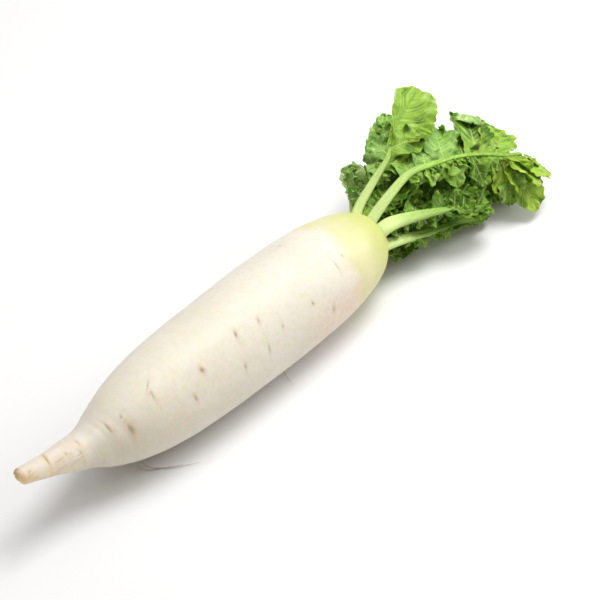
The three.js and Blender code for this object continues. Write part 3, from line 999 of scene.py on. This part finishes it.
def sheet(patch, middle, where, look, seed, size):
    """A closed thin blade round a grid of points, thinner at its edge."""
    normal = unit(np.cross(unit(np.gradient(middle, axis=0)), unit(np.gradient(middle, axis=1))))
    s, v = where[..., 0], where[..., 1]
    relief = blade_relief(middle, s, v, look[3], seed, size)
    middle = middle + normal * (relief * size)[..., None]
    half = normal * (BLADE_THICKNESS * (1 - 0.55 * np.abs(v) ** 3) / 2)[..., None]
    top = above_surface(middle + half)
    bottom = above_surface(middle - half)
    top[..., 2] = np.maximum(top[..., 2], LOWEST + LEAST_THICKNESS)
    faces = closed_faces(middle.shape[0] - 1, middle.shape[1] - 1)
    tone = blade_tone(s, v, relief, look)
    patch.add(np.stack([top, bottom]), faces, np.stack([where] * 2), np.stack([tone] * 2))


def blade(patch, place, left, up, half, phase, length, look, seed):
    """One lobe. `half` gives its half widths to the left and the right along its midrib."""
    curl = look[3]
    size = float(np.mean(half)) * 2
    rows = len(place) - 1
    columns = 2 * max(6, min(16, round(0.65 * size)))
    s = np.linspace(0, 1, rows + 1)[:, None]
    v = np.linspace(-1, 1, columns + 1)[None, :]
    widths = np.where(v > 0, half[0][:, None], half[1][:, None])
    reach = widths * v
    wave = np.sin(2 * np.pi * RUFFLE_WAVES * s + phase + v)
    rise = (CUP + RUFFLE * curl * wave) * v * v * 2 * widths
    frills = max(2.5, length / FRILL_SPACING)
    frill = np.sin(2 * np.pi * frills * s + 2 * phase + 3 * v) * np.abs(v) ** 3
    rise = (rise + FRILL * curl * size * frill) * ease(0, 0.25, s)
    middle = place[:, None] + left[:, None] * reach[..., None] + up[:, None] * rise[..., None]
    where = np.stack(np.broadcast_arrays(s, v, reach), -1)
    sheet(patch, middle, where, look, seed, size)


def fine_teeth(s, length, phase):
    """Small uneven teeth all along a lobe's edge."""
    count = max(4, round(length / FINE_TOOTH_SPACING))
    wave = np.abs(np.sin(np.pi * count * s + phase + 0.8 * np.sin(5 * s + phase)))
    return 1 - FINE_TOOTH_DEPTH * (1 - wave)


def end_lobe(patch, curve, leaf, phase, seed):
    start, kind, *widths = leaf["end"]
    s = np.linspace(0, 1, END_ROWS + 1)
    place, _, left, up = curve.at(start + (1 - start) * s)
    length = curve.length(start)
    if "outline" in leaf:
        stations = np.array(leaf["outline"]).T
        halves = [np.interp(s, stations[0], stations[k]) for k in (1, 2)]
    else:
        outline = oval_half(s, 0.58, 0.3, 0.45) * toothed(s, TEETH) * rounded_tip(s)
        halves = [width * outline for width in widths]
    halves = [half * fine_teeth(s, length, phase + 1.7 * side) for side, half in enumerate(halves)]
    blade(patch, place, left, up, halves, phase, length, LOOKS[kind], seed)


def turned(vector, axis, angle):
    cos, sin = math.cos(angle), math.sin(angle)
    return vector * cos + np.cross(axis, vector) * sin + axis * (axis @ vector) * (1 - cos)


def side_lobe(patch, curve, lobe, phase, look, seed, fold=None):
    at, turn, lift, length, width, droop, roll = lobe
    place, along, left, up = (value[0] for value in curve.at([at]))
    turn_angle, lift_angle = math.radians(turn), math.radians(lift)
    level = along * math.cos(turn_angle) + left * math.sin(turn_angle)
    out = level * math.cos(lift_angle) + up * math.sin(lift_angle)
    up = turned(up * math.cos(lift_angle) - level * math.sin(lift_angle), out, math.radians(roll))
    across = np.cross(up, out)
    joined = -math.copysign(1, turn) * along
    s = np.linspace(0, 1, 13 + round(0.6 * length))
    column = s[:, None]
    midrib = place + out * length * column - up * droop * length * column ** 2
    upwards = np.broadcast_to(up, midrib.shape)
    if fold:
        midrib, upwards, look = folded_over(midrib, out, up, column, fold, look)
    leaning = unit(joined + (across - joined) * ease(0, 0.4, column))
    teeth = TEETH - 1 if length < SHORT_LOBE else TEETH
    outline = width / 2 * oval_half(s, 0.55, 0.6, 0.34) * toothed(s, teeth) * rounded_tip(s)
    halves = [outline * fine_teeth(s, length, phase + side) for side in (0, 2.1)]
    blade(patch, midrib, leaning, upwards, halves, phase, length, look, seed)


def folded_over(midrib, out, up, column, fold, look):
    """Folds a lobe's tip back over it, which shows its paler underside, with painted shade under the fold.
    """
    angle = math.radians(FOLD_ANGLE) * ease(fold - 0.03, fold + 0.08, column)
    steps = np.diff(midrib, axis=0, prepend=midrib[:1])
    stride = np.linalg.norm(steps, axis=1, keepdims=True)
    folded = (out * np.cos(angle) + up * np.sin(angle)) * stride
    bent = midrib[0] + np.cumsum(np.where(angle > 0, folded, steps), 0)
    past = ease(fold, fold + 0.06, column)
    # Painted shade on the lobe under the fold
    shaded = ease(fold - 0.55, fold - 0.4, column) * (1 - past)
    yellow, blue, dark, curl = look
    look = yellow * (1 - past), blue + (1 - blue) * past, dark + 0.8 * shaded - 0.6 * past, curl
    return bent, up * np.cos(angle) - out * np.sin(angle), look


def leaflets(patch, curve, run, seed):
    """Small curly lobes along a stretch of the stalk, between the main ones."""
    first, last, side, count, size, lift, kinds = run
    kinds = kinds.split()
    rng = np.random.default_rng(seed)
    for index in range(count):
        at = first + (last - first) * (index + rng.uniform(0, 1)) / count
        turn = (side or (-1) ** index) * rng.uniform(35, 95)
        length = size * rng.uniform(0.65, 1.3)
        lobe = (at, turn, lift + rng.uniform(-22, 22), length, length * rng.uniform(0.75, 1.1),
                rng.uniform(-0.4, 0.5), rng.uniform(-50, 50))
        look = varied(LOOKS[kinds[index % len(kinds)]], rng.uniform(0, 1))
        side_lobe(patch, curve, lobe, rng.uniform(0, 6.3), look, seed + 2 * index)


def varied(look, chance):
    """A look that differs a little from its kind."""
    yellow, blue, dark, curl = look
    share = chance - 0.5
    yellow = np.clip(yellow + 0.3 * share, 0, 1)
    dark = np.clip(dark + 0.3 * share, 0, 1)
    return yellow, blue * (1 + 0.4 * share), dark, curl


def stalk(patch, curve, leaf):
    """The stalk and midrib: round below, flatter above, finely ribbed, and flared at the crown."""
    base, tip, narrow, end = leaf["stalk"]
    rows = STALK_ROWS_PER_SPAN * curve.spans
    share = np.linspace(0, 0.985 * end, rows + 1)
    place, _, left, up = curve.at(share)
    radius = base + (tip - base) * ease(narrow - 0.35, narrow + 0.3, share)
    steps = share * curve.spans
    radius = radius * (1 + 0.12 * ease(1.2, 0.4, steps))
    radius[-1] = 0.02
    angle = np.linspace(0, 2 * np.pi, STALK_SIDES, endpoint=False)
    flat = np.where(np.sin(angle) > 0, STALK_FLATNESS, 1)
    channel = 1 - 0.3 * np.exp(-(np.cos(angle) / 0.4) ** 2) * (np.sin(angle) > 0)
    ribs = 1 + 0.035 * np.cos(9 * angle)
    side = left[:, None] * (np.cos(angle) * ribs)[None, :, None]
    height = up[:, None] * (np.sin(angle) * flat * channel * ribs)[None, :, None]
    points = place[:, None] + (side + height) * radius[:, None, None]
    points[..., 2] = np.maximum(points[..., 2], LOWEST)
    pale = ease(4.5, 0.6, steps)
    where = np.stack(np.broadcast_arrays(share[:, None], angle[None, :] / np.pi - 1, pale[:, None]), -1)
    patch.add(points, grid_faces(rows, STALK_SIDES, closed=True), where, STALK_TONE)


def make_leaves():
    material = leaf_material()
    for order, (name, leaf) in enumerate(LEAVES.items(), start=1):
        curve = Curve(leaf["centreline"], leaf["faces"])
        patch = Patch()
        stalk(patch, curve, leaf)
        phase = 2 * math.pi * scatter(10 * order)
        end_lobe(patch, curve, leaf, phase, 100 * order)
        for index, (*lobe, kind) in enumerate(leaf["lobes"], start=1):
            chance = scatter(10 * order + index)
            look = varied(LOOKS[kind], chance)
            side_lobe(patch, curve, lobe, 2 * math.pi * chance, look, 100 * order + 5 * index)
        if "folded" in leaf:
            *lobe, fold, kind = leaf["folded"]
            side_lobe(patch, curve, lobe, phase, LOOKS[kind], 100 * order + 90, fold)
        for index, run in enumerate(leaf["leaflets"], start=1):
            leaflets(patch, curve, run, 1000 * order + 200 * index)
        piece = patch.build(f"{name}_blades", material)
        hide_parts(name)
        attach(piece, "root")


# ------------ the stage

# The stage is in metres. The camera turns from +Y towards +X and looks down.
CAMERA_PLACE = (-0.561157, -0.522261, 0.727862)
CAMERA_TURN = 49.58
CAMERA_DROP = 41
LENS = 88.177
SENSOR = 36
# Each lamp has its name, place, target, size and watts
LAMPS = [
    ("key", (0.5, -0.1, 1.4), (0.03, 0, 0), 0.8, 13),
    ("fill", (1.2, -0.5, 0.6), (0.1, 0, 0.03), 0.6, 7.5),
]
FLOOR_HALF = 6
FLOOR_DROP = 0.0002
SKY_FALLOFF = 3


def put(obj, place, ahead):
    """Puts a camera or a lamp in place, looking ahead."""
    obj.location = place
    obj.rotation_mode = "QUATERNION"
    obj.rotation_quaternion = ahead.to_track_quat("-Z", "Y")
    scene.collection.objects.link(obj)


def add_camera():
    data = bpy.data.cameras.new("camera")
    data.lens = LENS
    data.sensor_width = SENSOR
    data.clip_start = 0.05
    data.clip_end = 30
    camera = bpy.data.objects.new("camera", data)
    turn, drop = math.radians(CAMERA_TURN), math.radians(CAMERA_DROP)
    ahead = (math.sin(turn) * math.cos(drop), math.cos(turn) * math.cos(drop), -math.sin(drop))
    put(camera, CAMERA_PLACE, Vector(ahead))
    scene.camera = camera


def add_lamp(name, place, target, size, watts):
    data = bpy.data.lights.new(name, "AREA")
    data.shape = "DISK"
    data.size = size
    data.energy = watts
    put(bpy.data.objects.new(name, data), place, Vector(target) - Vector(place))


def add_world():
    """A studio that is bright overhead and dim and warm towards the horizon, and looks white itself."""
    world = bpy.data.worlds.new("studio")
    world.use_nodes = True
    made = Graph(world.node_tree)
    height = made.split(made.node("ShaderNodeTexCoord").outputs["Generated"])[2]
    sky = made.mix(made.math("POWER", height, SKY_FALLOFF, clamp=True), SKY_LOW, SKY_HIGH)
    camera_ray = made.node("ShaderNodeLightPath").outputs["Is Camera Ray"]
    made.link(made.mix(camera_ray, sky, WHITE), made.tree.nodes["Background"].inputs["Color"])
    scene.world = world


def add_floor():
    mesh = bpy.data.meshes.new("floor")
    corners = [(x * FLOOR_HALF, y * FLOOR_HALF, 0) for x, y in ((-1, -1), (1, -1), (1, 1), (-1, 1))]
    mesh.from_pydata(corners, [], [(0, 1, 2, 3)])
    mesh.materials.append(floor_material())
    floor = bpy.data.objects.new("floor", mesh)
    floor.location.z = -FLOOR_DROP
    scene.collection.objects.link(floor)


add_camera()
add_floor()
add_world()
for lamp in LAMPS:
    add_lamp(*lamp)
scene.view_settings.view_transform = "Standard"
make_root()
make_leaves()
